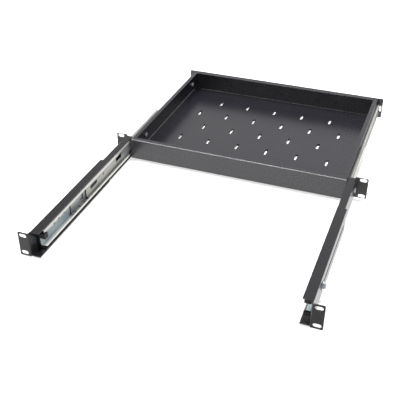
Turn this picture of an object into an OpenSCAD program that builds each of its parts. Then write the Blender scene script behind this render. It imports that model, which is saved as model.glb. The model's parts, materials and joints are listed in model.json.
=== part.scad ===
// Sliding rack shelf, one unit high, drawn with the tray pulled fully out.
// +Z is up and the front faces -Y. The rear faces of the front ears lie at y = 0,
// the centre plane between the two sides is x = 0, and z = 0 is halfway up the ears.
// The user stands at the front, so the right side is +X. Lengths are in millimetres.

/* [Rack] */
// Overall width across the ears
rack_width = 482.6; // [430:0.1:500]
// Distance from an ear's outer edge to the middle of its mounting slots
slot_edge = 8.75; // [8:0.05:10]
// Distance from a rear ear's upper and lower edge to the middle of its mounting slots
slot_inset = 5.925; // [5.5:0.025:7]
// Distance between the inner faces of the front and the rear ears, rails at their shortest
mount_depth = 345; // [300:0.5:420]
// Height of one rack unit's bracket
unit_height = 43.6; // [42:0.1:48]
// Distance from the tray's side wall to the outer edge of an ear
side_room = 35.3; // [34.8:0.1:37]

/* [Brackets] */
// Sheet thickness of the brackets
bracket_sheet = 1.5; // [1.2:0.1:1.6]
// Inside radius where an ear bends away from its web
ear_bend = 0.8; // [0.4:0.1:2]
// Inside radius where a flange bends away from its web
flange_bend = 0.6; // [0.3:0.1:1]
// Distance from the front bracket's rear end to the rear ears
front_bracket_clear = 21.5; // [18:0.5:26]
// Depth of the front bracket's flanges
front_flange_depth = 12.7; // [10:0.1:13]
// Depth of the rear bracket's flanges
rear_flange_depth = 16.1; // [12:0.1:16.6]
// Gap between the webs of the front and the rear bracket
web_gap = 1.8; // [1.5:0.1:2.2]
// Gap between the nested flanges
flange_gap = 0.3; // [0.2:0.05:0.4]
// Length of the web that has no flange behind a front ear
front_relief = 3; // [2.7:0.1:5]
// Length of the web that has no upper flange in front of a rear ear
rear_relief = 5; // [4:0.1:8]
// Length of a mounting slot, end to end
ear_slot_length = 12.5; // [9:0.1:13]
// Width of a mounting slot
ear_slot_width = 6.8; // [6.2:0.1:7]
// Radius of the ears' outer corners
ear_corner = 2; // [1:0.1:3]

/* [Depth adjuster] */
// Thread diameter of the clamp stud
clamp_thread = 5; // [4:0.1:5.2]
// Distance from the clamp stud to the rear ears
clamp_inset = 65; // [60:0.5:70]
// Length of the rear bracket's web in front of its slot
slot_land = 17.8; // [12:0.1:24]
// Distance that the rear bracket can be drawn out
adjust_travel = 154; // [100:1:160]
// Play of the clamp stud in its slot and holes, on the diameter
clamp_play = 0.6; // [0.4:0.1:0.8]
// Diameter of the stud's head, pressed flush into the web
clamp_head_d = 8; // [7:0.1:10]
// Height of the stud's head
clamp_head_h = 1; // [0.7:0.1:1.1]
// Diameter of the spacer between the two webs
spacer_d = 12; // [10:0.1:14]
// Diameter of the clamp washer
washer_d = 14; // [12:0.1:16]
// Thickness of the clamp washer
washer_h = 1.2; // [0.8:0.1:1.6]
// Width of the clamp nut across its flats
nut_flats = 8; // [7.5:0.1:10]
// Height of the clamp nut
nut_h = 4.2; // [3:0.1:5]
// Length of thread that shows past the nut
thread_tail = 0.8; // [0.5:0.1:2]

/* [Slides] */
// Gap between the slide and the front bracket's flanges
slide_clear = 0.85; // [0.5:0.05:1.2]
// Thickness of the slide
slide_thickness = 12.7; // [12.6:0.1:13]
// Sheet thickness of the slide's members
rail_sheet = 1; // [0.9:0.05:1.05]
// Distance from the outer member's rear end to the front bracket's
outer_inset = 1; // [0.5:0.5:4]
// Distance of the outer member behind the front ears
outer_setback = 3; // [1:0.5:4]
// Distance of the closed middle and inner members behind the front ears
inner_setback = 5; // [4:0.5:6]
// Gap between the closed middle member and the black stop
stop_gap = 0.5; // [0.3:0.1:2]
// Depth of the tray that the travel leaves between the brackets
tray_stay = 15.5; // [8:0.5:60]
// Diameter of the balls
ball_d = 3; // [2.8:0.1:3.1]
// Play between a ball and its raceway
ball_play = 0.3; // [0.25:0.05:0.35]
// Number of balls in a row
ball_count = 9; // [6:1:10]
// Distance between the balls of a row
ball_pitch = 16.5; // [9:0.5:17]
// Distance from a cage's end to its first ball
cage_end = 9; // [6:0.5:10]
// Sheet thickness of a ball cage
cage_sheet = 0.5; // [0.4:0.05:0.55]
// Length of the outer cage past the middle member's rear end, tray out
outer_cage_out = 50.5; // [40:0.5:60]
// Length of the inner cage past the inner member's rear end, tray out
inner_cage_out = 57; // [40:0.5:65]
// Length of the lip that the outer member folds over its balls
outer_lip = 2.6; // [2:0.1:4]
// Radius of the outer and middle members' lower rear corners
rail_corner = 6; // [3:0.5:8]

/* [Stops] */
// Length of the black stop on the outer member
bumper_length = 10; // [8:0.5:11]
// Height of the black stop on the outer member
bumper_height = 11; // [8:0.5:12]
// Distance that the black stop stands off the web
bumper_reach = 10; // [8:0.5:10.5]
// Radius of the black stop's edges
bumper_round = 2.4; // [1:0.1:3]
// Distance that the black stop stands past the outer member's rear end
bumper_overhang = 2.5; // [0:0.1:4]
// Gap between a buffer and the edges of its slot in the middle member
buffer_play = 0.1; // [0.05:0.05:0.3]
// Width of the border that a buffer has behind the middle member's web
buffer_border = 1; // [0.5:0.1:1.5]
// Thickness of that border
buffer_back = 0.5; // [0.3:0.05:0.6]

/* [Tray] */
// Distance from the closed tray's rear wall to the rear ears
tray_rear_gap = 3.5; // [2:0.5:20]
// Distance from the tray's rim to the rear brackets' upper edge
rim_drop = 1.5; // [1.2:0.1:8]
// Height of the tray's underside over the rear brackets' underside
tray_lift = 0.5; // [0.3:0.1:2.5]
// Sheet thickness of the tray
tray_sheet = 1.5; // [1:0.1:1.6]
// Width of the lip along each side wall
side_lip = 8.7; // [5:0.1:10]
// Width of the lip along the front and the rear wall
end_lip = 9.5; // [6:0.1:12]
// Outside radius of the bends along the tray's floor
tray_bend = 3.2; // [2:0.1:3.6]
// Outside radius of the bends along the tray's rim
rim_bend = 2.2; // [1.7:0.1:3]
// Width of a vent slot in the floor
vent_width = 4.4; // [3:0.1:6]
// Length of a vent slot in the floor
vent_length = 22; // [12:0.5:30]
// Distance from a side wall to the outer vent slots of a longer row
vent_side = 56; // [40:1:80]
// Distance from the last row of vent slots to the tray's rear
vent_rear = 56; // [40:0.5:70]
// Number of rows of vent slots
vent_rows = 5; // [3:1:5]
// Number of vent slots in the shorter rows
vent_count = 5; // [3:1:5]
// Distance from the tray's front to its first row of vent slots
vent_front = 60.5; // [55:0.5:70]

/* [Front panel] */
// Gap between the closed panel's ends and the front brackets
panel_side_gap = 1.5; // [1:0.1:3]
// Length by which the panel is lower than a rear bracket at its top and again at its bottom
panel_edge = 0.7; // [0.6:0.1:2]
// Distance of the panel's middle below the ears' middle
panel_drop = 0.5; // [0:0.1:0.6]
// Thickness of the front panel
panel_sheet = 2; // [1.5:0.1:2.5]
// Gap between the closed panel and the front ears' rear faces
panel_gap = 1; // [0.8:0.1:2]
// Radius of the front panel's corners
panel_corner = 1.5; // [1:0.1:3]
// Width of the slot at each end of the panel
end_slot_width = 4; // [3:0.1:5]
// Height of the slot at each end of the panel
end_slot_height = 13; // [9:0.1:16]
// Distance from the panel's end to the middle of its end slot
end_slot_inset = 4.2; // [3.6:0.1:6]

/* [Fasteners] */
// Thread diameter of the rail screws
screw_thread = 4; // [3:0.1:4.2]
// Diameter of a rail screw's pan head
screw_head_d = 8.6; // [7:0.1:9]
// Height of a rail screw's pan head
screw_head_h = 2.8; // [2:0.1:3]
// Diameter of the pan heads inside the tray
tray_screw_head_d = 9.2; // [7:0.1:10]
// Height of the pan heads inside the tray
tray_screw_head_h = 3.2; // [2:0.1:3.6]
// Distance of the tray's screws, rivets and end slots below the ears' middle
fixing_drop = 1.8; // [0:0.1:2.5]
// Width of a cross recess's arms
recess_width = 1.1; // [0.8:0.1:1.4]
// Play between a fastener and its hole, on the diameter
screw_play = 0.3; // [0.2:0.05:0.5]
// Place of the front rail screw behind the front ears
rail_screw_y = 11.5; // [8:0.5:16]
// Diameter of the flush rail rivet's head
rail_rivet_head = 7; // [6:0.1:8]
// Height of the flush rail rivet's head
rail_rivet_h = 0.8; // [0.5:0.1:1.2]
// Distance from the tray's front to its front rail screw
tray_screw_front = 24.5; // [20:0.5:40]
// Distance from the rear rail screw of a side wall to the tray's rear
tray_screw_rear = 63.5; // [40:0.5:80]
// Diameter of the rivets that hold the front panel
rivet_d = 3.2; // [2.4:0.1:4]
// Diameter of a panel rivet's head
rivet_head_d = 6.4; // [5:0.1:8]
// Height of a panel rivet's head
rivet_head_h = 1.2; // [0.8:0.1:1.6]
// Distance between the rivets that hold the front panel
rivet_pitch = 118; // [90:1:150]

/* [Hidden] */
$fn = 48;
// How far a cutting shape runs past the face it cuts
cut_over = 1;
paint = "#2e2e31";
zinc = "#b4bec2";
cage_metal = "#8d949a";
rubber = "#17171b";
bright_steel = "#d5d9dc";

// Places across the shelf, from the tray outwards
ear_edge = rack_width / 2;
hole_x = ear_edge - slot_edge;
tray_side = ear_edge - side_room;
web_inside = tray_side + slide_thickness;
web_outside = web_inside + bracket_sheet;
rear_web_inside = web_outside + web_gap;
rear_web_outside = rear_web_inside + bracket_sheet;
front_flange_edge = web_outside - front_flange_depth;
rear_flange_edge = rear_web_outside - rear_flange_depth;
panel_end = web_inside - panel_side_gap;
end_slot_x = panel_end - end_slot_inset;
washer_outside = rear_web_outside + washer_h;
nut_outside = washer_outside + nut_h;

// Heights
hole_z = unit_height / 2 - slot_inset;
front_height = unit_height - 2 * (bracket_sheet + flange_gap);
slide_height = front_height - 2 * (bracket_sheet + slide_clear);
panel_top = unit_height / 2 - panel_edge - panel_drop;
panel_bottom = panel_edge - panel_drop - unit_height / 2;
tray_bottom = tray_lift - unit_height / 2;
rim_z = unit_height / 2 - rim_drop;
floor_z = tray_bottom + tray_sheet;

// The middle member's travel as a share of the tray's, which puts both ends of the photo's
// pulled-out middle member where they are seen
middle_share = 0.4136;

// Place of the flush rivet along the outer member
rivet_share = 0.505;

// Places along the shelf, tray out
tray_depth = mount_depth - tray_rear_gap + panel_gap;
tray_travel = tray_depth - tray_stay;
tray_front = -panel_gap - tray_travel;
tray_rear = tray_front + tray_depth;
seam_y = tray_rear - end_lip;
panel_front = tray_front - panel_sheet;
front_bracket_rear = mount_depth - front_bracket_clear;
outer_rear = front_bracket_rear - outer_inset;
outer_rail_length = outer_rear - outer_setback;
rail_rivet_y = outer_setback + rivet_share * outer_rail_length;
bumper_front = outer_rear + bumper_overhang - bumper_length;
bumper_y = bumper_front + bumper_length / 2;
rail_length = bumper_front - stop_gap - inner_setback;
middle_front = inner_setback - middle_share * tray_travel;
middle_rear = middle_front + rail_length;
inner_front = inner_setback - tray_travel;
clamp_y = mount_depth - clamp_inset;
slot_front = clamp_y - adjust_travel - clamp_play;
rear_bracket_front = slot_front - (clamp_thread + clamp_play) / 2 - slot_land;
bumper_z = 0.43 * bumper_height;
tray_screw_places = [tray_front + tray_screw_front, tray_rear - tray_screw_rear];
vent_pitch_x = 2 * (tray_side - vent_side) / vent_count;
vent_pitch_y = (tray_depth - vent_front - vent_rear) / (vent_rows - 1);
cage_length = 2 * cage_end + (ball_count - 1) * ball_pitch;
outer_cage_y = middle_rear + outer_cage_out - cage_length;
inner_cage_y = inner_front + rail_length + inner_cage_out - cage_length;

// Section of the slide. Its first number runs from the bracket's web towards the tray,
// and its second number runs up from the slide's centre.
race_r = ball_d / 2 + ball_play;
bend_r = race_r + rail_sheet;
ball_s = 0.6 * slide_thickness;
outer_ball_v = slide_height / 2 - bend_r;
inner_ball_v = outer_ball_v - bend_r - race_r;
middle_web_s = ball_s - bend_r;
inner_web_s = slide_thickness - rail_sheet;
middle_tongue = 0.65 * race_r;
inner_tongue = 0.3 * race_r;
outer_cage_s = (rail_sheet + middle_web_s - cage_sheet) / 2;
outer_cage_v = outer_ball_v + 0.3 * race_r;
inner_cage_s = middle_web_s + rail_sheet + ball_play;
inner_cage_v = inner_ball_v + 0.6 * race_r;
window_y = ball_d / 2 + ball_play / 2;

// Openings in the slide's webs. Their places are shares of the rail's length, and their sizes
// are shares of the slide's height.
small_hole_d = 0.12 * slide_height;
outer_hole_shares = [0.868, 0.821, 0.768, 0.659, 0.609];
outer_window_share = 0.12;
outer_window_length = 1.25 * slide_height;
outer_window_height = 0.45 * slide_height;
slot_share = 0.914;
slot_length = 0.72 * slide_height;
slot_height = 0.2 * slide_height;
window_share = 0.573;
window_length = slide_height;
window_height = 0.24 * slide_height;
middle_hole_share = 0.792;
middle_slot_y = middle_front + slot_share * rail_length;

// Places a flat shape that is drawn in X and Z, from y0 to y1
module along_y(y0, y1)
    translate([0, y1, 0]) rotate([90, 0, 0]) linear_extrude(height = y1 - y0) children();

// Places a flat shape that is drawn in Y and Z, as far as reach on both sides
module across_x(reach)
    translate([-reach, 0, 0]) rotate([90, 0, 90]) linear_extrude(height = 2 * reach) children();

// Turns the slide's section into the shelf's X and Z on the right side
module slide_section()
    translate([web_inside, 0]) mirror([1, 0]) children();

// Draws a right-side piece on the left
module left_side()
    mirror([1, 0, 0]) children();

module both_ends()
    for (flip = [0, 1]) mirror([0, flip]) children();

// A box between two opposite corners
module box(low, high)
    translate(low) cube(high - low);

// A rod along X
module rod_x(x0, x1, y, z, d)
    translate([x0, y, z]) rotate([0, 90, 0]) cylinder(h = x1 - x0, d = d);

// A rod along Y
module rod_y(y0, y1, x, z, d)
    translate([x, y1, z]) rotate([90, 0, 0]) cylinder(h = y1 - y0, d = d);

// One quarter of a ring around the origin, in the quadrant that the signs give
module quarter_ring(r, thickness, sx, sy)
    intersection() {
        difference() {
            circle(r = r + thickness);
            circle(r = r);
        }
        scale([sx, sy]) square(r + thickness);
    }

// The waste outside a rounded corner at the origin that points to +X and +Y
module corner_waste(r)
    difference() {
        translate([-r, -r]) square(r + cut_over);
        translate([-r, -r]) circle(r = r);
    }

// The solid that fills the inside of a bend of radius r, legs along +X and +Y
module corner_fill(r)
    difference() {
        square(r);
        translate([r, r]) circle(r = r);
    }

// A slot with round ends along X, cut in the Y direction
module slot_through_y(x, z, length, width, y0, y1) {
    reach = (length - width) / 2;
    for (side = [-1, 1]) rod_y(y0, y1, x + side * reach, z, width);
    box([x - reach, y0, z - width / 2], [x + reach, y1, z + width / 2]);
}

// A bar with round ends along Y, between two places across the shelf
module slot_through_x(x0, x1, y0, y1, z, width) {
    for (y = [y0, y1]) rod_x(x0, x1, y, z, width);
    box([x0, y0, z - width / 2], [x1, y1, z + width / 2]);
}

// One flange and the bend that joins it to the web, at the top
module flange_section(outside, edge, height) {
    outer_r = flange_bend + bracket_sheet;
    translate([outside - outer_r, height / 2 - outer_r]) quarter_ring(flange_bend, bracket_sheet, 1, 1);
    translate([edge, height / 2 - bracket_sheet]) square([outside - outer_r - edge, bracket_sheet]);
}

// Channel section: web on the outside, flanges that point at the tray, centred on z = 0
module channel_section(outside, edge, height) {
    straight = height - 2 * (flange_bend + bracket_sheet);
    translate([outside - bracket_sheet, -straight / 2]) square([bracket_sheet, straight]);
    both_ends() flange_section(outside, edge, height);
}

// Web and ear as one bent strip seen from above. The web runs to +Y from the ear's rear face,
// which lies at y = 0, and reaches as far as web_end.
module ear_strip(outside, web_end) {
    inside = outside - bracket_sheet;
    bend_x = outside + ear_bend;
    translate([inside, ear_bend]) square([bracket_sheet, web_end - ear_bend]);
    translate([bend_x, ear_bend]) quarter_ring(ear_bend, bracket_sheet, -1, -1);
    translate([bend_x, -bracket_sheet]) square([ear_edge - bend_x, bracket_sheet]);
}

// An ear with its mounting slots and its short bare web
module ear(outside, height, web_end)
    difference() {
        translate([0, 0, -height / 2]) linear_extrude(height = height)
            ear_strip(outside, web_end);
        for (side = [-1, 1]) {
            slot_through_y(hole_x, side * hole_z, ear_slot_length,
                ear_slot_width, -bracket_sheet - cut_over, cut_over);
            translate([ear_edge, 0, side * height / 2]) scale([1, 1, side])
                along_y(-bracket_sheet - cut_over, cut_over) corner_waste(ear_corner);
        }
    }

// Cross-shaped driver recess, sunk from x = 0 towards -X
module cross_recess(depth, span)
    for (turn = [0, 90]) rotate([turn, 0, 0])
        box([-depth, -span / 2, -recess_width / 2], [cut_over, span / 2, recess_width / 2]);

// A pan head that stands on x = 0 and grows towards +X, round face outwards
module pan_head(d, h) {
    edge = 0.35 * h;
    rotate([0, 90, 0]) rotate_extrude() {
        square([d / 2 - edge, h]);
        square([d / 2, h - edge]);
        translate([d / 2 - edge, h - edge]) circle(r = edge);
    }
}

module front_bracket() {
    color(paint)
    difference() {
        union() {
            ear(web_outside, front_height, front_relief);
            along_y(front_relief, front_bracket_rear)
                channel_section(web_outside, front_flange_edge, front_height);
        }
        for (y = [rail_screw_y, rail_rivet_y])
            rod_x(web_inside - cut_over, web_outside + cut_over, y, 0, screw_thread + screw_play);
        rod_x(web_inside - cut_over, web_outside + cut_over, clamp_y, 0, clamp_thread);
        rod_x(web_inside - cut_over, web_inside + clamp_head_h, clamp_y, 0, clamp_head_d);
    }
}

module rear_bracket() {
    color(paint)
    difference() {
        union() {
            translate([0, mount_depth, 0]) mirror([0, 1, 0])
                ear(rear_web_outside, unit_height, rear_relief);
            along_y(rear_bracket_front, mount_depth - rear_relief)
                channel_section(rear_web_outside, rear_flange_edge, unit_height);
            along_y(mount_depth - rear_relief, mount_depth - ear_bend) mirror([0, 1])
                flange_section(rear_web_outside, rear_flange_edge, unit_height);
        }
        slot_through_x(rear_web_inside - cut_over, rear_web_outside + cut_over,
            slot_front, clamp_y, 0, clamp_thread + clamp_play);
    }
}

module outer_rail_section() {
    translate([0, -slide_height / 2]) square([rail_sheet, slide_height]);
    both_ends() {
        translate([0, slide_height / 2 - rail_sheet]) square([ball_s, rail_sheet]);
        translate([ball_s, outer_ball_v]) quarter_ring(race_r, rail_sheet, 1, 1);
        translate([ball_s + race_r, outer_ball_v - outer_lip]) square([rail_sheet, outer_lip]);
    }
}

module middle_rail_section() {
    translate([middle_web_s, -outer_ball_v]) square([rail_sheet, 2 * outer_ball_v]);
    both_ends() {
        translate([ball_s, outer_ball_v]) quarter_ring(race_r, rail_sheet, -1, -1);
        translate([ball_s, outer_ball_v - bend_r]) square([middle_tongue, rail_sheet]);
    }
}

module inner_rail_section() {
    flange = inner_ball_v - race_r;
    start = ball_s - inner_tongue;
    translate([inner_web_s, -flange]) square([rail_sheet, 2 * flange]);
    both_ends() {
        translate([start, flange - rail_sheet]) square([slide_thickness - start, rail_sheet]);
        translate([ball_s, inner_ball_v]) quarter_ring(race_r, rail_sheet, 1, -1);
    }
}

// The waste past a rounded lower rear corner of a rail that ends at y
module rear_corner_waste(y)
    translate([web_inside - slide_thickness, y, -slide_height / 2])
        rotate([90, 0, 90]) linear_extrude(height = slide_thickness + bracket_sheet)
            mirror([0, 1]) corner_waste(rail_corner);

// Opening in a rail's web, whose outer face lies at x
module rail_window(x, y, length, height)
    translate([x, y, 0])
        box([-rail_sheet - cut_over, -length / 2, -height / 2], [cut_over, length / 2, height / 2]);

module outer_rail() {
    color(zinc)
    difference() {
        along_y(outer_setback, outer_rear) slide_section() outer_rail_section();
        rear_corner_waste(outer_rear);
        for (y = [rail_screw_y, rail_rivet_y])
            rod_x(web_inside - rail_sheet - cut_over, web_inside + cut_over, y, 0,
                screw_thread + screw_play);
        for (share = outer_hole_shares)
            rod_x(web_inside - rail_sheet - cut_over, web_inside + cut_over,
                outer_setback + share * outer_rail_length, 0, small_hole_d);
        rail_window(web_inside, outer_setback + outer_window_share * outer_rail_length,
            outer_window_length, outer_window_height);
    }
}

// The bar that the slot in the middle member is cut with
module middle_slot(x0, x1, width) {
    reach = (slot_length - slot_height) / 2;
    slot_through_x(x0, x1, middle_slot_y - reach, middle_slot_y + reach, 0, width);
}

module middle_rail() {
    web_x = web_inside - middle_web_s;
    color(zinc)
    difference() {
        along_y(middle_front, middle_rear) slide_section() middle_rail_section();
        translate([0, 0, slide_height / 2 - outer_ball_v]) rear_corner_waste(middle_rear);
        middle_slot(web_x - rail_sheet - cut_over, web_x + cut_over, slot_height);
        rod_x(web_x - rail_sheet - cut_over, web_x + cut_over,
            middle_front + middle_hole_share * rail_length, 0, small_hole_d);
        rail_window(web_x, middle_front + window_share * rail_length, window_length, window_height);
    }
}

module inner_rail() {
    color(zinc)
    difference() {
        along_y(inner_front, inner_front + rail_length) slide_section() inner_rail_section();
        for (y = tray_screw_places)
            rod_x(tray_side - cut_over, tray_side + rail_sheet + cut_over, y, -fixing_drop,
                screw_thread + screw_play);
    }
}

// Places of a cage's balls along the rail
function ball_places(start) = [for (i = [0 : ball_count - 1]) start + cage_end + i * ball_pitch];

// Notches that let the balls of a cage through, between two distances from the web
module ball_notches(start, s0, s1, v0, v1)
    for (y = ball_places(start))
        along_y(y - window_y, y + window_y) slide_section() both_ends()
            translate([s0, v0]) square([s1 - s0, v1 - v0]);

// Long windows that lighten a cage between its rows of balls
module cage_windows(start, s, height)
    for (share = [0.25, 0.5, 0.75])
        along_y(start + share * cage_length - cage_end / 2, start + share * cage_length + cage_end / 2)
            slide_section() translate([s - cut_over, -height / 2])
                square([cage_sheet + 2 * cut_over, height]);

module outer_cage_section() {
    reach = ball_s + 0.55 * race_r;
    top = outer_cage_v + cage_sheet;
    difference() {
        translate([outer_cage_s, -top]) square([reach - outer_cage_s, 2 * top]);
        translate([outer_cage_s + cage_sheet, -outer_cage_v]) square([reach, 2 * outer_cage_v]);
    }
}

module outer_cage() {
    color(cage_metal)
    difference() {
        along_y(outer_cage_y, outer_cage_y + cage_length) slide_section() outer_cage_section();
        ball_notches(outer_cage_y, outer_cage_s + 2 * cage_sheet, ball_s + bend_r,
            outer_cage_v - cage_sheet, outer_cage_v + 2 * cage_sheet);
        cage_windows(outer_cage_y, outer_cage_s, outer_ball_v);
    }
}

module inner_cage() {
    color(cage_metal)
    difference() {
        along_y(inner_cage_y, inner_cage_y + cage_length) slide_section()
            translate([inner_cage_s, -inner_cage_v]) square([cage_sheet, 2 * inner_cage_v]);
        ball_notches(inner_cage_y, inner_cage_s - cage_sheet, inner_cage_s + 2 * cage_sheet,
            inner_ball_v - race_r, inner_ball_v + race_r);
        cage_windows(inner_cage_y, inner_cage_s, inner_ball_v);
    }
}

// Both rows of a cage's balls
module balls(start, v)
    color(bright_steel)
    for (y = ball_places(start), side = [-1, 1])
        translate([web_inside - ball_s, y, side * v]) sphere(d = ball_d, $fn = 24);

module outer_balls() balls(outer_cage_y, outer_ball_v);

module inner_balls() balls(inner_cage_y, inner_ball_v);

// Black stop at the outer member's rear end, just behind the closed middle member
module rail_bumper() {
    x1 = web_inside - rail_sheet;
    reach_y = bumper_length / 2 - bumper_round;
    reach_z = bumper_height / 2 - bumper_round;
    color(rubber)
    translate([0, bumper_y, bumper_z]) {
        box([x1 - bumper_reach, -bumper_length / 2, -reach_z], [x1, bumper_length / 2, reach_z]);
        box([x1 - bumper_reach, -reach_y, -bumper_height / 2], [x1, reach_y, bumper_height / 2]);
        for (sy = [-1, 1], sz = [-1, 1])
            rod_x(x1 - bumper_reach, x1, sy * reach_y, sz * reach_z, 2 * bumper_round);
    }
}

// Black buffer that fills the slot near the middle member's rear end
module middle_buffer() {
    web_x = web_inside - middle_web_s;
    color(rubber) {
        middle_slot(web_x - rail_sheet, web_x + buffer_back, slot_height - 2 * buffer_play);
        middle_slot(web_x, web_x + buffer_back, slot_height + 2 * buffer_border);
    }
}

// Pan-head screw that holds the outer member to the bracket near the ear
module rail_screw() {
    color(zinc)
    difference() {
        union() {
            translate([web_outside, rail_screw_y, 0]) pan_head(screw_head_d, screw_head_h);
            rod_x(web_inside - 2 * rail_sheet, web_outside, rail_screw_y, 0, screw_thread);
        }
        translate([web_outside + screw_head_h, rail_screw_y, 0])
            cross_recess(screw_head_h / 2, screw_head_d / 2);
    }
}

// Flush rivet that holds the outer member to the bracket behind the rear bracket's web
module rail_rivet() {
    color(zinc) {
        rod_x(web_outside, web_outside + rail_rivet_h, rail_rivet_y, 0, rail_rivet_head);
        rod_x(web_inside - rail_sheet, web_outside, rail_rivet_y, 0, screw_thread);
    }
}

// Pan-head screws through the tray's side wall into the inner member
module tray_screws() {
    inside = tray_side - tray_sheet;
    color(zinc)
    for (y = tray_screw_places) translate([inside, y, -fixing_drop]) {
        rod_x(0, tray_sheet + 2 * rail_sheet, 0, 0, screw_thread);
        mirror([1, 0, 0]) difference() {
            pan_head(tray_screw_head_d, tray_screw_head_h);
            translate([tray_screw_head_h, 0, 0])
                cross_recess(tray_screw_head_h / 2, tray_screw_head_d / 2);
        }
    }
}

// Stud with a head pressed flush into the front bracket's web and a thread through the slot
module clamp_stud()
    color(zinc) {
        rod_x(web_inside, web_inside + clamp_head_h, clamp_y, 0, clamp_head_d);
        rod_x(web_inside, nut_outside + thread_tail, clamp_y, 0, clamp_thread);
    }

// Ring around the clamp stud between two places across the shelf
module clamp_ring(x0, x1, d)
    difference() {
        rod_x(x0, x1, clamp_y, 0, d);
        rod_x(x0 - cut_over, x1 + cut_over, clamp_y, 0, clamp_thread + screw_play);
    }

module clamp_spacer() color(zinc) clamp_ring(web_outside, rear_web_inside, spacer_d);

module clamp_washer() color(zinc) clamp_ring(rear_web_outside, washer_outside, washer_d);

module clamp_nut() {
    chamfer = 0.1 * nut_flats;
    across_points = nut_flats / cos(30);
    color(zinc)
    difference() {
        intersection() {
            translate([washer_outside, clamp_y, 0]) rotate([0, 90, 0])
                cylinder(h = nut_h, d = across_points, $fn = 6);
            translate([washer_outside, clamp_y, 0]) rotate([0, 90, 0]) rotate_extrude()
                polygon([[0, 0], [across_points / 2, 0], [across_points / 2, nut_h - chamfer / 2],
                    [across_points / 2 - chamfer, nut_h], [0, nut_h]]);
        }
        rod_x(washer_outside - cut_over, nut_outside + cut_over, clamp_y, 0,
            clamp_thread + screw_play);
    }
}

// The tray's outer block with its lower and upper edges rounded
module tray_block()
    difference() {
        box([-tray_side, tray_front, tray_bottom], [tray_side, tray_rear, rim_z]);
        for (edge = [[tray_bottom, -1, tray_bend], [rim_z, 1, rim_bend]]) {
            for (side = [-1, 1])
                along_y(tray_front - cut_over, tray_rear + cut_over)
                    translate([side * tray_side, edge[0]]) scale([side, edge[1]]) corner_waste(edge[2]);
            for (wall = [[tray_front, -1], [tray_rear, 1]])
                across_x(tray_side + cut_over)
                    translate([wall[0], edge[0]]) scale([wall[1], edge[1]]) corner_waste(edge[2]);
        }
    }

// The space inside the tray's walls, with its lower and upper edges rounded
module tray_space() {
    x = tray_side - tray_sheet;
    y0 = tray_front + tray_sheet;
    y1 = tray_rear - tray_sheet;
    top = rim_z - tray_sheet;
    difference() {
        box([-x, y0, floor_z], [x, y1, top]);
        for (edge = [[floor_z, 1, tray_bend - tray_sheet], [top, -1, rim_bend - tray_sheet]]) {
            for (side = [-1, 1])
                along_y(y0 - cut_over, y1 + cut_over)
                    translate([side * x, edge[0]]) scale([-side, edge[1]]) corner_fill(edge[2]);
            for (wall = [[y0, 1], [y1, -1]])
                across_x(x + cut_over)
                    translate([wall[0], edge[0]]) scale([wall[1], edge[1]]) corner_fill(edge[2]);
        }
    }
}

// One vent slot, its long side along Y
module vent_slot(x, y) {
    reach = (vent_length - vent_width) / 2;
    low = tray_bottom - cut_over;
    high = floor_z + cut_over;
    for (side = [-1, 1])
        translate([x, y + side * reach, low]) cylinder(h = high - low, d = vent_width);
    box([x - vent_width / 2, y - reach, low], [x + vent_width / 2, y + reach, high]);
}

// The tray with its walls, rim and openings
module tray_shell()
    difference() {
        tray_block();
        tray_space();
        box([side_lip - tray_side, tray_front + end_lip, floor_z + tray_bend],
            [tray_side - side_lip, tray_rear - end_lip, rim_z + cut_over]);
        for (row = [0 : vent_rows - 1]) {
            count = vent_count + row % 2;
            for (i = [0 : count - 1])
                vent_slot((i - (count - 1) / 2) * vent_pitch_x, tray_front + vent_front + row * vent_pitch_y);
        }
        for (i = [-1 : 1])
            rod_y(tray_front - cut_over, tray_front + tray_sheet + cut_over, i * rivet_pitch,
                -fixing_drop, rivet_d + screw_play);
        for (side = [-1, 1], y = tray_screw_places)
            translate([side * (tray_side - tray_sheet / 2), 0, 0])
                rod_x(-tray_sheet, tray_sheet, y, -fixing_drop, screw_thread + screw_play);
    }

// Everything behind the seam between the pan and the back rail
module behind_seam()
    box([-tray_side - cut_over, seam_y, tray_bottom - cut_over],
        [tray_side + cut_over, tray_rear + cut_over, rim_z + cut_over]);

module tray_pan() {
    color(paint)
    difference() {
        tray_shell();
        behind_seam();
    }
}

// Folded rail along the tray's back, with its wall and its part of the rim
module tray_back() {
    color(paint)
    intersection() {
        tray_shell();
        behind_seam();
    }
}

module front_panel() {
    color(paint)
    difference() {
        box([-panel_end, panel_front, panel_bottom], [panel_end, tray_front, panel_top]);
        for (side = [-1, 1], edge = [[panel_bottom, -1], [panel_top, 1]])
            along_y(panel_front - cut_over, tray_front + cut_over)
                translate([side * panel_end, edge[0]]) scale([side, edge[1]])
                    corner_waste(panel_corner);
        for (side = [-1, 1]) translate([side * end_slot_x, 0, -fixing_drop]) rotate([0, 90, 0])
            slot_through_y(0, 0, end_slot_height, end_slot_width,
                panel_front - cut_over, tray_front + cut_over);
        for (i = [-1 : 1])
            rod_y(panel_front - cut_over, tray_front + cut_over, i * rivet_pitch, -fixing_drop,
                rivet_d + screw_play);
    }
}

// Domed rivets through the panel and the tray's front wall
module panel_rivets() {
    back = tray_front + tray_sheet;
    color(paint)
    for (i = [-1 : 1]) translate([i * rivet_pitch, 0, -fixing_drop]) {
        rod_y(panel_front, back, 0, 0, rivet_d);
        translate([0, back, 0]) rotate([0, 0, 90]) pan_head(rivet_head_d, rivet_head_h);
        translate([0, panel_front, 0]) rotate([0, 0, -90]) pan_head(rivet_head_d, rivet_head_h);
    }
}

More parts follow.
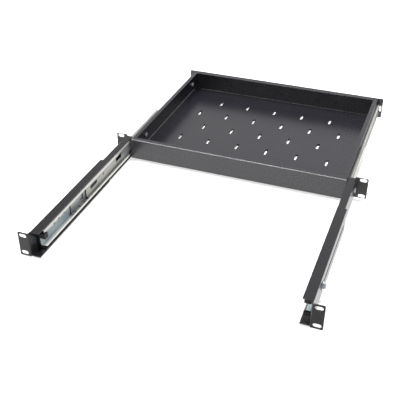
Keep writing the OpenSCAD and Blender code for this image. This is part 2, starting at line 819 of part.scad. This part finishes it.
module front_bracket_left() left_side() front_bracket();
module front_bracket_right() front_bracket();
module rear_bracket_left() left_side() rear_bracket();
module rear_bracket_right() rear_bracket();
module outer_rail_left() left_side() outer_rail();
module outer_rail_right() outer_rail();
module middle_rail_left() left_side() middle_rail();
module middle_rail_right() middle_rail();
module inner_rail_left() left_side() inner_rail();
module inner_rail_right() inner_rail();
module outer_cage_left() left_side() outer_cage();
module outer_cage_right() outer_cage();
module inner_cage_left() left_side() inner_cage();
module inner_cage_right() inner_cage();
module outer_balls_left() left_side() outer_balls();
module outer_balls_right() outer_balls();
module inner_balls_left() left_side() inner_balls();
module inner_balls_right() inner_balls();
module rail_bumper_left() left_side() rail_bumper();
module rail_bumper_right() rail_bumper();
module middle_buffer_left() left_side() middle_buffer();
module middle_buffer_right() middle_buffer();
module rail_screw_left() left_side() rail_screw();
module rail_screw_right() rail_screw();
module rail_rivet_left() left_side() rail_rivet();
module rail_rivet_right() rail_rivet();
module tray_screws_left() left_side() tray_screws();
module tray_screws_right() tray_screws();
module clamp_stud_left() left_side() clamp_stud();
module clamp_stud_right() clamp_stud();
module clamp_spacer_left() left_side() clamp_spacer();
module clamp_spacer_right() clamp_spacer();
module clamp_washer_left() left_side() clamp_washer();
module clamp_washer_right() clamp_washer();
module clamp_nut_left() left_side() clamp_nut();
module clamp_nut_right() clamp_nut();

tray_pan();
tray_back();
front_panel();
panel_rivets();
front_bracket_left();
front_bracket_right();
rear_bracket_left();
rear_bracket_right();
outer_rail_left();
outer_rail_right();
middle_rail_left();
middle_rail_right();
inner_rail_left();
inner_rail_right();
outer_cage_left();
outer_cage_right();
inner_cage_left();
inner_cage_right();
outer_balls_left();
outer_balls_right();
inner_balls_left();
inner_balls_right();
rail_bumper_left();
rail_bumper_right();
middle_buffer_left();
middle_buffer_right();
rail_screw_left();
rail_screw_right();
rail_rivet_left();
rail_rivet_right();
tray_screws_left();
tray_screws_right();
clamp_stud_left();
clamp_stud_right();
clamp_spacer_left();
clamp_spacer_right();
clamp_washer_left();
clamp_washer_right();
clamp_nut_left();
clamp_nut_right();
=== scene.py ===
"""Looks of the sliding rack shelf: paint, zinc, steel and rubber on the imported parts, in a pale studio."""

import json
import math

import bpy
from mathutils import Matrix, Vector


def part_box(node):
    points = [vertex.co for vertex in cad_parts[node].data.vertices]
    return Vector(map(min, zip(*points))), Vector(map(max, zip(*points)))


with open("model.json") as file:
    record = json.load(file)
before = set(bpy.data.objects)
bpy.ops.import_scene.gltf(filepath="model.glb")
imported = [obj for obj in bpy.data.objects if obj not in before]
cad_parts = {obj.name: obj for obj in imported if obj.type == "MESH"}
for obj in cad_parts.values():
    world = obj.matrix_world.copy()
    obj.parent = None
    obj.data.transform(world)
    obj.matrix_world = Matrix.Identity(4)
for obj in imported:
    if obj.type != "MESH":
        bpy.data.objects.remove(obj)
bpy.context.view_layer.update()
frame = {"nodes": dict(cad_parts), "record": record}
MM = 0.001
WHITE = (1, 1, 1, 1)

# The camera, fitted to the photograph
CAMERA_PLACE = Vector((-333.605, 1068.829, 667.265)) * MM
CAMERA_AZIMUTH = math.radians(200.7046)
CAMERA_ELEVATION = math.radians(33.7239)
CAMERA_ROLL = math.radians(-0.0137)
FOCAL_PIXELS = 705.967
PICTURE_PIXELS = 400
SENSOR = 36.0
CLIP_NEAR, CLIP_FAR = 0.01, 50


def make_camera():
    data = bpy.data.cameras.new("camera")
    data.sensor_fit = "HORIZONTAL"
    data.sensor_width = SENSOR
    data.lens = SENSOR * FOCAL_PIXELS / PICTURE_PIXELS
    data.clip_start = CLIP_NEAR
    data.clip_end = CLIP_FAR
    back = Vector((math.sin(CAMERA_AZIMUTH) * math.cos(CAMERA_ELEVATION),
                   -math.cos(CAMERA_AZIMUTH) * math.cos(CAMERA_ELEVATION),
                   math.sin(CAMERA_ELEVATION)))
    right = Vector((math.cos(CAMERA_AZIMUTH), math.sin(CAMERA_AZIMUTH), 0))
    up = back.cross(right)
    turned = Matrix((right, up, back)).transposed().to_4x4()
    camera = bpy.data.objects.new("camera", data)
    camera.matrix_world = Matrix.Translation(CAMERA_PLACE) @ turned @ Matrix.Rotation(CAMERA_ROLL, 4, "Z")
    bpy.context.scene.collection.objects.link(camera)
    bpy.context.scene.camera = camera


# The part of its range that a noise mostly fills
NOISE_LOW, NOISE_HIGH = 0.3, 0.7

# The open share of a place's surroundings that counts as deep in a gap, and as in the open
HOLLOW_SAMPLES = 8
HOLLOW_DEEP, HOLLOW_OPEN = 0.25, 0.7

# From the slide's side next to the tray: how far its lips carry a painted highlight, and where that has
# faded out
LIP_BRIGHT, LIP_FADED = 0.8 * MM, 1.6 * MM


class Shader:
    """A node material, built a node at a time."""

    def __init__(self, name):
        self.material = bpy.data.materials.new(name)
        self.material.use_nodes = True
        self.tree = self.material.node_tree
        self.main = self.tree.nodes["Principled BSDF"]

    def node(self, kind, **values):
        made = self.tree.nodes.new(kind)
        for key, value in values.items():
            setattr(made, key, value)
        return made

    def link(self, output, socket):
        self.tree.links.new(output, socket)

    def feed(self, name, output):
        """Links an output to the main shader's socket of that name."""
        self.link(output, self.main.inputs[name])

    def set(self, **values):
        for key, value in values.items():
            self.main.inputs[key.replace("_", " ")].default_value = value

    def place(self, stretch=(1, 1, 1)):
        """Coordinates in metres that ride with the piece, stretched to draw out a grain."""
        source = self.node("ShaderNodeTexCoord")
        mapping = self.node("ShaderNodeMapping")
        mapping.inputs["Scale"].default_value = stretch
        self.link(source.outputs["Object"], mapping.inputs["Vector"])
        return mapping.outputs["Vector"]

    def noise(self, place, scale, detail, rough=0.5):
        """A noise of so many waves to the metre."""
        made = self.node("ShaderNodeTexNoise")
        made.inputs["Scale"].default_value = scale
        made.inputs["Detail"].default_value = detail
        made.inputs["Roughness"].default_value = rough
        self.link(place, made.inputs["Vector"])
        return made.outputs["Fac"]

    def span(self, value, low, high, start=NOISE_LOW, end=NOISE_HIGH):
        """Maps a number from start to end onto the numbers from low to high."""
        made = self.node("ShaderNodeMapRange")
        for key, number in (("From Min", start), ("From Max", end), ("To Min", low), ("To Max", high)):
            made.inputs[key].default_value = number
        self.link(value, made.inputs["Value"])
        return made.outputs["Result"]

    def shades(self, value, dark, light, start=NOISE_LOW, end=NOISE_HIGH):
        """Maps a number from start to end onto the colours from dark to light."""
        ramp = self.node("ShaderNodeValToRGB")
        for point, where, colour in zip(ramp.color_ramp.elements, (start, end), (dark, light)):
            point.position = where
            point.color = (*colour, 1)
        self.link(value, ramp.inputs["Fac"])
        return ramp.outputs["Color"]

    def round_edges(self, radius):
        """Shades the sheet's edges and bends as rounded."""
        made = self.node("ShaderNodeBevel")
        made.inputs["Radius"].default_value = radius
        return made.outputs["Normal"]

    def hollows(self, reach):
        """Is 0 deep in a gap or race and 1 in the open."""
        made = self.node("ShaderNodeAmbientOcclusion", samples=HOLLOW_SAMPLES)
        made.inputs["Distance"].default_value = reach
        return self.span(made.outputs["AO"], 0.0, 1.0, HOLLOW_DEEP, HOLLOW_OPEN)

    def math(self, operation, *values):
        made = self.node("ShaderNodeMath", operation=operation)
        for socket, value in zip(made.inputs, values):
            self.link(value, socket)
        return made.outputs["Value"]

    def axes(self):
        """The distance to either side of the middle plane, the depth and the height."""
        split = self.node("ShaderNodeSeparateXYZ")
        self.link(self.place(), split.inputs["Vector"])
        return self.math("ABSOLUTE", split.outputs["X"]), split.outputs["Y"], split.outputs["Z"]

    def lips(self, inside):
        """Is 1 on the slide's rolled lips, which lie nearest to the tray, and 0 elsewhere."""
        return self.span(self.axes()[0], 1.0, 0.0, inside + LIP_BRIGHT, inside + LIP_FADED)

    def near(self, value, edge, reach):
        """Is 1 at an edge and 0 farther off than the reach, which is negative at a lowest edge."""
        return self.span(value, 0.0, 1.0, edge - reach, edge - reach / 2)

    def folds(self, side, front, floor, back, top, reach):
        """Is 1 along the foot of the tray's walls and on its back rim's edge, and 0 elsewhere."""
        away, depth, height = self.axes()
        wall = self.math("MAXIMUM", self.near(away, side, reach), self.near(depth, front, -reach))
        fold = self.math("MULTIPLY", wall, self.near(height, floor, -reach))
        rim = self.math("MULTIPLY", self.near(depth, back, 2 * reach), self.near(height, top, 2 * reach))
        return self.math("MAXIMUM", fold, rim)

    def blend(self, share, first, second):
        """Goes from the first colour, at a share of 0, to the second."""
        made = self.node("ShaderNodeMix", data_type="RGBA")
        self.link(share, made.inputs["Factor"])
        colours = [socket for socket in made.inputs if socket.type == "RGBA"]
        for socket, colour in zip(colours, (first, second)):
            if isinstance(colour, tuple):
                socket.default_value = (*colour, 1)
            else:
                self.link(colour, socket)
        return [socket for socket in made.outputs if socket.type == "RGBA"][0]

    def bump(self, height, distance, after=None):
        made = self.node("ShaderNodeBump")
        made.inputs["Distance"].default_value = distance
        made.inputs["Strength"].default_value = 1.0
        self.link(height, made.inputs["Height"])
        if after is not None:
            self.link(after, made.inputs["Normal"])
        return made.outputs["Normal"]


PAINT_CLOUD, PAINT_GLOSS, PAINT_RIPPLE, PAINT_GRAIN = 18, 900, 650, 2600
GLOSS_SPREAD = 0.03
RIPPLE_DEPTH, GRAIN_DEPTH = 0.03 * MM, 0.01 * MM
EDGE_RADIUS = 0.8 * MM
# Pale colour painted along the tray's folds and its back rim's edge: a painted highlight where the bends
# catch the light
FOLD_HIGHLIGHT = (0.11, 0.11, 0.115)


def powder_coat(name, dark, light, rough, ior=1.5, folds_at=None):
    """Satin black paint with the fine ripple of powder coat, with a pale painted highlight along the folds.
    """
    shader = Shader(name)
    place = shader.place()
    paint = shader.shades(shader.noise(place, PAINT_CLOUD, detail=3), dark, light)
    if folds_at is not None:
        # Painted highlight: the paint turns pale along the folds and on the back rim's edge
        paint = shader.blend(shader.folds(*folds_at), paint, FOLD_HIGHLIGHT)
    shader.feed("Base Color", paint)
    gloss = shader.noise(place, PAINT_GLOSS, detail=2)
    shader.feed("Roughness", shader.span(gloss, rough - GLOSS_SPREAD, rough + GLOSS_SPREAD))
    ripple = shader.noise(place, PAINT_RIPPLE, detail=1)
    grain = shader.noise(place, PAINT_GRAIN, detail=2)
    coat = shader.bump(ripple, RIPPLE_DEPTH, after=shader.round_edges(EDGE_RADIUS))
    shader.feed("Normal", shader.bump(grain, GRAIN_DEPTH, after=coat))
    shader.set(Metallic=0.0, IOR=ior)
    return shader.material


ZINC_STREAK, ZINC_BLOTCH = 420, 45
ZINC_DARKEST, ZINC_LIGHTEST = 0.1, 0.9
SMOOTHER, ROUGHER = 0.06, 0.08
STREAK_DEPTH = 0.012 * MM
ZINC_METALLIC = 0.7

# A pale colour painted on the slides' lips as a highlight, and a near-black painted into gaps and races as
# painted shade
LIP_HIGHLIGHT = (0.80, 0.79, 0.74)
PAINTED_SHADE = (0.02, 0.02, 0.022)
PAINTED_SHADE_REACH = 6 * MM


def zinc_plate(name, dark, light, rough, grain_way, lips_at=None):
    """Bright zinc over rolled steel, with streaks drawn out along the rolling direction."""
    shader = Shader(name)
    streak = shader.noise(shader.place(grain_way), ZINC_STREAK, detail=3, rough=0.6)
    blotch = shader.noise(shader.place(), ZINC_BLOTCH, detail=3)
    tone = shader.math("ADD", shader.span(streak, 0.0, 0.5), shader.span(blotch, 0.0, 0.5))
    plate = shader.shades(tone, dark, light, ZINC_DARKEST, ZINC_LIGHTEST)
    if lips_at is not None:
        # Painted highlight: the lips nearest the tray blend to a pale cream
        plate = shader.blend(shader.lips(lips_at), plate, LIP_HIGHLIGHT)
    # Painted shade: the zinc turns near black where ambient occlusion finds a gap or race
    shader.feed("Base Color", shader.blend(shader.hollows(PAINTED_SHADE_REACH), PAINTED_SHADE, plate))
    shader.feed("Roughness", shader.span(blotch, rough - SMOOTHER, rough + ROUGHER))
    shader.feed("Normal", shader.bump(streak, STREAK_DEPTH))
    shader.set(Metallic=ZINC_METALLIC)
    return shader.material


STEEL_CLOUD = 500
STEEL_DARK, STEEL_LIGHT = (0.55, 0.56, 0.58), (0.70, 0.71, 0.73)
STEEL_SMOOTH, STEEL_ROUGH = 0.08, 0.16


def polished_steel(name):
    shader = Shader(name)
    cloud = shader.noise(shader.place(), STEEL_CLOUD, detail=2)
    shader.feed("Base Color", shader.shades(cloud, STEEL_DARK, STEEL_LIGHT))
    shader.feed("Roughness", shader.span(cloud, STEEL_SMOOTH, STEEL_ROUGH))
    shader.set(Metallic=1.0)
    return shader.material


RUBBER_CLOUD, RUBBER_PORES = 120, 1800
RUBBER_DARK, RUBBER_LIGHT = (0.004, 0.004, 0.005), (0.007, 0.007, 0.009)
RUBBER_SMOOTH, RUBBER_ROUGH = 0.5, 0.62
PORE_DEPTH = 0.02 * MM
RUBBER_SPECULAR = 0.4


def black_rubber(name):
    shader = Shader(name)
    place = shader.place()
    cloud = shader.noise(place, RUBBER_CLOUD, detail=3)
    shader.feed("Base Color", shader.shades(cloud, RUBBER_DARK, RUBBER_LIGHT))
    pores = shader.noise(place, RUBBER_PORES, detail=2)
    shader.feed("Roughness", shader.span(pores, RUBBER_SMOOTH, RUBBER_ROUGH))
    shader.feed("Normal", shader.bump(pores, PORE_DEPTH))
    shader.set(Specular_IOR_Level=RUBBER_SPECULAR)
    return shader.material


# Where the outer slide members' lips and the tray's folds lie
LIPS_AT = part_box("outer_rail_right")[0].x
SHEET = 1.5 * MM
FOLD_REACH = 0.9 * MM
PAN_LOW, PAN_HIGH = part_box("tray_pan")
BACK_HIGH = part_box("tray_back")[1]
FOLDS_AT = (PAN_HIGH.x - SHEET, PAN_LOW.y + SHEET, PAN_LOW.z + SHEET, BACK_HIGH.y, BACK_HIGH.z, FOLD_REACH)

NIGHT, SLATE = (0.0082, 0.0075, 0.0112), (0.0102, 0.0095, 0.0132)
COAL, ASH = (0.0085, 0.0081, 0.0098), (0.0105, 0.0101, 0.0118)
TRAY_ROUGH, BRACKET_ROUGH, RIVET_ROUGH = 0.27, 0.3, 0.22
TRAY_IOR = 1.7
SLIDE_DARK, SLIDE_LIGHT = (0.48, 0.48, 0.455), (0.60, 0.595, 0.57)
OUTER_DARK, OUTER_LIGHT = (0.46, 0.54, 0.58), (0.74, 0.77, 0.775)
MIDDLE_DARK, MIDDLE_LIGHT = (0.33, 0.33, 0.315), (0.50, 0.495, 0.47)
FASTENER_DARK, FASTENER_LIGHT = (0.42, 0.46, 0.50), (0.60, 0.64, 0.68)
CAGE_DARK, CAGE_LIGHT = (0.33, 0.36, 0.37), (0.44, 0.46, 0.46)
SLIDE_ROUGH, FASTENER_ROUGH = 0.34, 0.18
ALONG_Y, EVEN = (1.0, 0.03, 1.0), (1, 1, 1)
FINISHES = {
    "black_paint": powder_coat("tray_paint", NIGHT, SLATE, TRAY_ROUGH, TRAY_IOR, FOLDS_AT),
    "panel_paint": powder_coat("panel_paint", NIGHT, SLATE, TRAY_ROUGH, TRAY_IOR),
    "bracket_paint": powder_coat("bracket_paint", COAL, ASH, BRACKET_ROUGH),
    "black_rivet": powder_coat("rivet_paint", NIGHT, SLATE, RIVET_ROUGH),
    "zinc_slide": zinc_plate("slide_zinc", SLIDE_DARK, SLIDE_LIGHT, SLIDE_ROUGH, ALONG_Y),
    "outer_zinc": zinc_plate("outer_zinc", OUTER_DARK, OUTER_LIGHT, SLIDE_ROUGH, ALONG_Y, LIPS_AT),
    "middle_zinc": zinc_plate("middle_zinc", MIDDLE_DARK, MIDDLE_LIGHT, SLIDE_ROUGH, ALONG_Y),
    "zinc_fastener": zinc_plate("fastener_zinc", FASTENER_DARK, FASTENER_LIGHT, FASTENER_ROUGH, EVEN),
    "cage_steel": zinc_plate("cage_steel", CAGE_DARK, CAGE_LIGHT, SLIDE_ROUGH, ALONG_Y),
    "ball_steel": polished_steel("ball_steel"),
    "black_rubber": black_rubber("black_rubber"),
}

# Pieces that share a material slot with others and yet look different
OWN_FINISHES = {"outer_rail": "outer_zinc", "middle_rail": "middle_zinc"}


def dress_nodes():
    slots = {part["node"]: part["material_slot"] for part in frame["record"]["subparts"]}
    for name, piece in frame["nodes"].items():
        piece.data.materials.clear()
        own = next((finish for start, finish in OWN_FINISHES.items() if name.startswith(start)), slots[name])
        piece.data.materials.append(FINISHES[own])


# The floor lies a little below the rear brackets. Under the tray a second sheet lies just above it.
# Glossy surfaces show that sheet and, in place of the wide floor and the backdrop, the surroundings.
FLOOR_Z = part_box("rear_bracket_left")[0].z - 2.5 * MM
FLOOR_REACH = 12.0
FLOOR_PALE, FLOOR_GLOW = 0.5, 0.6
UNDER_LIFT = 0.05 * MM
UNDER_PALE, UNDER_GLOW = 0.86, 0.0
BACKDROP_SIDES = 64
BACKDROP_HEIGHT = 8.0
BACKDROP_PALE, BACKDROP_GLOW = 0.1, 0.85
STUDIO_CLOUD = 3
STUDIO_SPREAD = 0.02
STUDIO_ROUGH = 0.9


def studio_finish(name, pale, glow):
    shader = Shader(name)
    cloud = shader.noise(shader.place(), STUDIO_CLOUD, detail=2)
    shader.feed("Base Color", shader.shades(cloud, (pale,) * 3, (pale + STUDIO_SPREAD,) * 3))
    shader.set(Roughness=STUDIO_ROUGH, Emission_Color=WHITE, Emission_Strength=glow)
    return shader.material


def studio_piece(name, places, faces, finish):
    mesh = bpy.data.meshes.new(name)
    mesh.from_pydata(places, [], faces)
    mesh.materials.append(finish)
    piece = bpy.data.objects.new(name, mesh)
    bpy.context.scene.collection.objects.link(piece)
    return piece


def make_floor(name, low, high, z, finish, mirrored):
    corners = [(low.x, low.y, z), (high.x, low.y, z), (high.x, high.y, z), (low.x, high.y, z)]
    floor = studio_piece(name, corners, [(0, 1, 2, 3)], finish)
    floor.visible_glossy = mirrored


def make_floors():
    reach = Vector((FLOOR_REACH, FLOOR_REACH))
    wide = studio_finish("floor", FLOOR_PALE, FLOOR_GLOW)
    make_floor("floor", -reach, reach, FLOOR_Z, wide, mirrored=False)
    under = studio_finish("floor_under", UNDER_PALE, UNDER_GLOW)
    make_floor("floor_under", PAN_LOW, PAN_HIGH, FLOOR_Z + UNDER_LIFT, under, mirrored=True)


def make_backdrop():
    """A pale wall all round, which closes the view past the floor and casts nothing on the shelf."""
    turns = [math.tau * step / BACKDROP_SIDES for step in range(BACKDROP_SIDES)]
    ring = [(FLOOR_REACH * math.cos(turn), FLOOR_REACH * math.sin(turn)) for turn in turns]
    places = [(x, y, z) for z in (FLOOR_Z, FLOOR_Z + BACKDROP_HEIGHT) for x, y in ring]
    sides = [(step, (step + 1) % BACKDROP_SIDES) for step in range(BACKDROP_SIDES)]
    faces = [(first, second, BACKDROP_SIDES + second, BACKDROP_SIDES + first) for first, second in sides]
    wall = studio_piece("backdrop", places, faces, studio_finish("backdrop", BACKDROP_PALE, BACKDROP_GLOW))
    wall.visible_glossy = wall.visible_diffuse = wall.visible_shadow = False


def softbox(name, place, target, size, power, mirrored=False):
    """A lamp that lights the shelf's surfaces or, when mirrored, one that only glints in them."""
    data = bpy.data.lights.new(name, "AREA")
    data.shape = "RECTANGLE"
    data.size, data.size_y = size
    data.energy = power
    lamp = bpy.data.objects.new(name, data)
    lamp.visible_glossy, lamp.visible_diffuse = mirrored, not mirrored
    place, target = Vector(place), Vector(target)
    lamp.location = place
    lamp.rotation_euler = (target - place).to_track_quat("-Z", "Y").to_euler()
    bpy.context.scene.collection.objects.link(lamp)


# The glow of the surroundings, by direction. In front of the shelf and above it is a round patch, cut
# off towards +X. Behind and beside the shelf is a band, from far below its level to some way above it.
# In front and below is a low glow, cut off towards -X. Everywhere is a dim glow. Each pair of limits
# runs from where a glow starts to where it is full, by the X, Y or Z of the direction, and for the
# patch's range by how nearly the direction is PATCH_WAY.
PATCH_WAY = (-0.05, -0.83, 0.55)
PATCH_RANGE = (0.45, 0.9)
PATCH_X = (0.62, 0.38)
PATCH_GLOW = 0.62
BAND_TOP_Z = (0.62, 0.22)
BAND_FOOT_Z = (-0.72, -0.6)
BAND_Y = (-0.4, 0.1)
BAND_GLOW = 1.54
LOW_Z = (0.05, -0.1)
LOW_X = (-0.75, -0.15)
LOW_Y = (0.1, -0.4)
LOW_GLOW = 1.8
DIM_GLOW = 0.15


def surroundings(world):
    tree = world.node_tree
    way = tree.nodes.new("ShaderNodeTexCoord").outputs["Generated"]

    def rise(value, limits, top=1.0):
        ramp = tree.nodes.new("ShaderNodeMapRange")
        ramp.interpolation_type = "SMOOTHSTEP"
        start, end = limits
        for key, number in (("From Min", start), ("From Max", end), ("To Min", 0.0), ("To Max", top)):
            ramp.inputs[key].default_value = number
        tree.links.new(value, ramp.inputs["Value"])
        return ramp.outputs["Result"]

    def join(kind, first, second):
        made = tree.nodes.new("ShaderNodeMath")
        made.operation = kind
        for socket, value in zip(made.inputs, (first, second)):
            if isinstance(value, float):
                socket.default_value = value
            else:
                tree.links.new(value, socket)
        return made.outputs["Value"]

    toward = tree.nodes.new("ShaderNodeVectorMath")
    toward.operation = "DOT_PRODUCT"
    toward.inputs[1].default_value = PATCH_WAY
    tree.links.new(way, toward.inputs[0])
    split = tree.nodes.new("ShaderNodeSeparateXYZ")
    tree.links.new(way, split.inputs["Vector"])
    x, y, z = split.outputs["X"], split.outputs["Y"], split.outputs["Z"]
    patch = join("MULTIPLY", rise(toward.outputs["Value"], PATCH_RANGE, PATCH_GLOW), rise(x, PATCH_X))
    band = join("MULTIPLY", rise(z, BAND_TOP_Z, BAND_GLOW), rise(z, BAND_FOOT_Z))
    band = join("MULTIPLY", band, rise(y, BAND_Y))
    low = join("MULTIPLY", rise(z, LOW_Z, LOW_GLOW), rise(x, LOW_X))
    low = join("MULTIPLY", low, rise(y, LOW_Y))
    glow = join("ADD", join("ADD", patch, band), join("ADD", low, DIM_GLOW))
    tree.links.new(glow, tree.nodes["Background"].inputs["Strength"])


def make_light():
    world = bpy.data.worlds.new("studio")
    bpy.context.scene.world = world
    world.use_nodes = True
    world.node_tree.nodes["Background"].inputs["Color"].default_value = WHITE
    surroundings(world)
    softbox("top_light", place=(0.6, 0.0, 2.1), target=(0, 0, 0), size=(2.2, 0.4), power=56)
    softbox("edge_light", place=(0.62, 0.9, 1.95), target=(0, 0, 0), size=(2.0, 0.2), power=50,
            mirrored=True)
    softbox("key_light", place=(-0.5, -0.35, 2.2), target=(0, -0.1, 0), size=(0.5, 0.5), power=70)
    bpy.context.scene.view_settings.view_transform = "Standard"


make_camera()
dress_nodes()
make_floors()
make_backdrop()
make_light()
